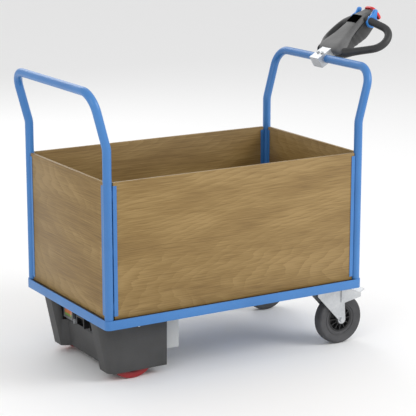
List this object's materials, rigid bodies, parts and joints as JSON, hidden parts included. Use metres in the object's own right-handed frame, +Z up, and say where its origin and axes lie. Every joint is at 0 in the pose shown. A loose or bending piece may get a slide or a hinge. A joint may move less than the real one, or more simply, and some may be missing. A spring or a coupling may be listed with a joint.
{
  "type": "electric platform trolley",
  "caption": "Blue steel platform trolley with lift-out wooden walls, two push hoops, braked swivel casters, a driven axle and a tiller-style control head.",
  "frame": {"origin": "on the floor under the middle of the bounding box", "axes": "+X along the platform to the handle end, +Y to the far long side, +Z up"},
  "size_m": [1.466, 0.6824, 1.2814],
  "materials": {
    "blue_paint": "satin powder coat",
    "deck_ply": "film-faced plywood",
    "oak_panel": "oak-effect board, satin",
    "zinc_steel": "zinc plated",
    "red_seal": "moulded",
    "black_plastic": "moulded",
    "grey_rubber": "solid rubber",
    "dark_steel": "satin",
    "cast_alloy": "cast",
    "red_polyurethane": "cast polyurethane",
    "cover_plastic": "grained moulding",
    "light_grey_paint": "satin",
    "head_grey": "fine grained moulding",
    "screen_glass": "glossy window",
    "status_lamp": "backlit window",
    "blue_plastic": "satin moulding",
    "red_plastic": "satin moulding"
  },
  "bodies": {
    "platform": {"frame_rail_front": "blue_paint", "frame_rail_rear": "blue_paint", "frame_rail_left": "blue_paint", "frame_rail_right": "blue_paint", "deck_bearers": "blue_paint", "hoop_drive_end": "blue_paint", "hoop_handle_end": "blue_paint", "channels_front": "blue_paint", "channels_rear": "blue_paint", "channels_left": "blue_paint", "channels_right": "blue_paint", "deck_board": "deck_ply", "caster_plates": "zinc_steel", "frame_bolts": "zinc_steel", "kingpins": "zinc_steel", "drive_axles": "zinc_steel", "cover_screws": "zinc_steel", "key_barrel": "zinc_steel", "head_bracket": "zinc_steel", "bracket_screws": "zinc_steel", "seal_rings": "red_seal", "control_plate": "black_plastic", "charge_socket": "black_plastic", "bracket_cap": "black_plastic", "battery_pack": "black_plastic", "drive_carrier": "dark_steel", "gear_motors": "dark_steel", "drive_cover": "cover_plastic", "head_lower_shell": "cover_plastic", "handle_near": "cover_plastic", "handle_far": "cover_plastic", "battery_box": "light_grey_paint", "battery_lid": "light_grey_paint", "head_upper_shell": "head_grey", "status_bezel": "head_grey", "head_display": "screen_glass", "status_screen": "status_lamp"},
    "panel_front": {"panel_front": "oak_panel"},
    "panel_rear": {"panel_rear": "oak_panel"},
    "panel_left": {"panel_left": "oak_panel"},
    "panel_right": {"panel_right": "oak_panel"},
    "caster_near": {"caster_fork_near": "zinc_steel", "wheel_axle_near": "zinc_steel"},
    "caster_far": {"caster_fork_far": "zinc_steel", "wheel_axle_far": "zinc_steel"},
    "caster_wheel_near": {"caster_rim_near": "black_plastic", "caster_tyre_near": "grey_rubber"},
    "caster_wheel_far": {"caster_rim_far": "black_plastic", "caster_tyre_far": "grey_rubber"},
    "pedal_near": {"brake_pedal_near": "zinc_steel"},
    "pedal_far": {"brake_pedal_far": "zinc_steel"},
    "drive_wheel_near": {"drive_hub_near": "cast_alloy", "drive_tyre_near": "red_polyurethane"},
    "drive_wheel_far": {"drive_hub_far": "cast_alloy", "drive_tyre_far": "red_polyurethane"},
    "key": {"key_switch": "zinc_steel"},
    "throttle_near": {"paddle_near": "blue_plastic"},
    "throttle_far": {"paddle_far": "blue_plastic"},
    "belly": {"belly_button": "red_plastic"}
  },
  "joints": [
    {"name": "panel_front_lift", "type": "slide", "parent": "platform", "child": "panel_front", "axis": [0, 0, 1], "range_m": [0, 0.49]},
    {"name": "panel_rear_lift", "type": "slide", "parent": "platform", "child": "panel_rear", "axis": [0, 0, 1], "range_m": [0, 0.49]},
    {"name": "panel_left_lift", "type": "slide", "parent": "platform", "child": "panel_left", "axis": [0, 0, 1], "range_m": [0, 0.49]},
    {"name": "panel_right_lift", "type": "slide", "parent": "platform", "child": "panel_right", "axis": [0, 0, 1], "range_m": [0, 0.49]},
    {"name": "caster_swivel_near", "type": "hinge", "parent": "platform", "child": "caster_near", "pos_m": [0.32082, -0.2642, 0.2217], "axis": [0, 0, 1], "continuous": true},
    {"name": "caster_roll_near", "type": "hinge", "parent": "caster_near", "child": "caster_wheel_near", "pos_m": [0.37482, -0.2642, 0.1], "axis": [0, 1, 0], "continuous": true},
    {"name": "brake_near", "type": "hinge", "parent": "caster_near", "child": "pedal_near", "pos_m": [0.37882, -0.2642, 0.1877], "axis": [0, 1, 0], "range_deg": [0, 12], "stiffness_Nm_per_rad": 2, "springref_deg": -20.05},
    {"name": "drive_roll_near", "type": "hinge", "parent": "platform", "child": "drive_wheel_near", "pos_m": [-0.52058, -0.211, 0.1], "axis": [0, 1, 0], "continuous": true},
    {"name": "caster_swivel_far", "type": "hinge", "parent": "platform", "child": "caster_far", "pos_m": [0.32082, 0.2642, 0.2217], "axis": [0, 0, 1], "continuous": true},
    {"name": "caster_roll_far", "type": "hinge", "parent": "caster_far", "child": "caster_wheel_far", "pos_m": [0.37482, 0.2642, 0.1], "axis": [0, 1, 0], "continuous": true},
    {"name": "brake_far", "type": "hinge", "parent": "caster_far", "child": "pedal_far", "pos_m": [0.37882, 0.2642, 0.1877], "axis": [0, 1, 0], "range_deg": [0, 12], "stiffness_Nm_per_rad": 2, "springref_deg": -20.05},
    {"name": "drive_roll_far", "type": "hinge", "parent": "platform", "child": "drive_wheel_far", "pos_m": [-0.52058, 0.211, 0.1], "axis": [0, 1, 0], "continuous": true},
    {"name": "key_turn", "type": "hinge", "parent": "platform", "child": "key", "pos_m": [-0.60538, 0.042, 0.162], "axis": [-1, 0, 0], "range_deg": [0, 90]},
    {"name": "throttle", "type": "hinge", "parent": "platform", "child": "throttle_near", "pos_m": [0.66363, -0.0525, 1.22731], "axis": [0, 1, 0], "range_deg": [-30, 30], "stiffness_Nm_per_rad": 0.4},
    {"name": "throttle_link", "type": "hinge", "parent": "platform", "child": "throttle_far", "pos_m": [0.66363, 0.0525, 1.22731], "axis": [0, 1, 0], "range_deg": [-30, 30]},
    {"name": "belly_press", "type": "slide", "parent": "platform", "child": "belly", "axis": [-0.766, 0, -0.6428], "range_m": [0, 0.006], "stiffness_N_per_m": 400, "springref_m": -0.003}
  ],
  "couplings": [
    {"joint": "throttle_link", "follows": "throttle", "ratio": 1}
  ]
}
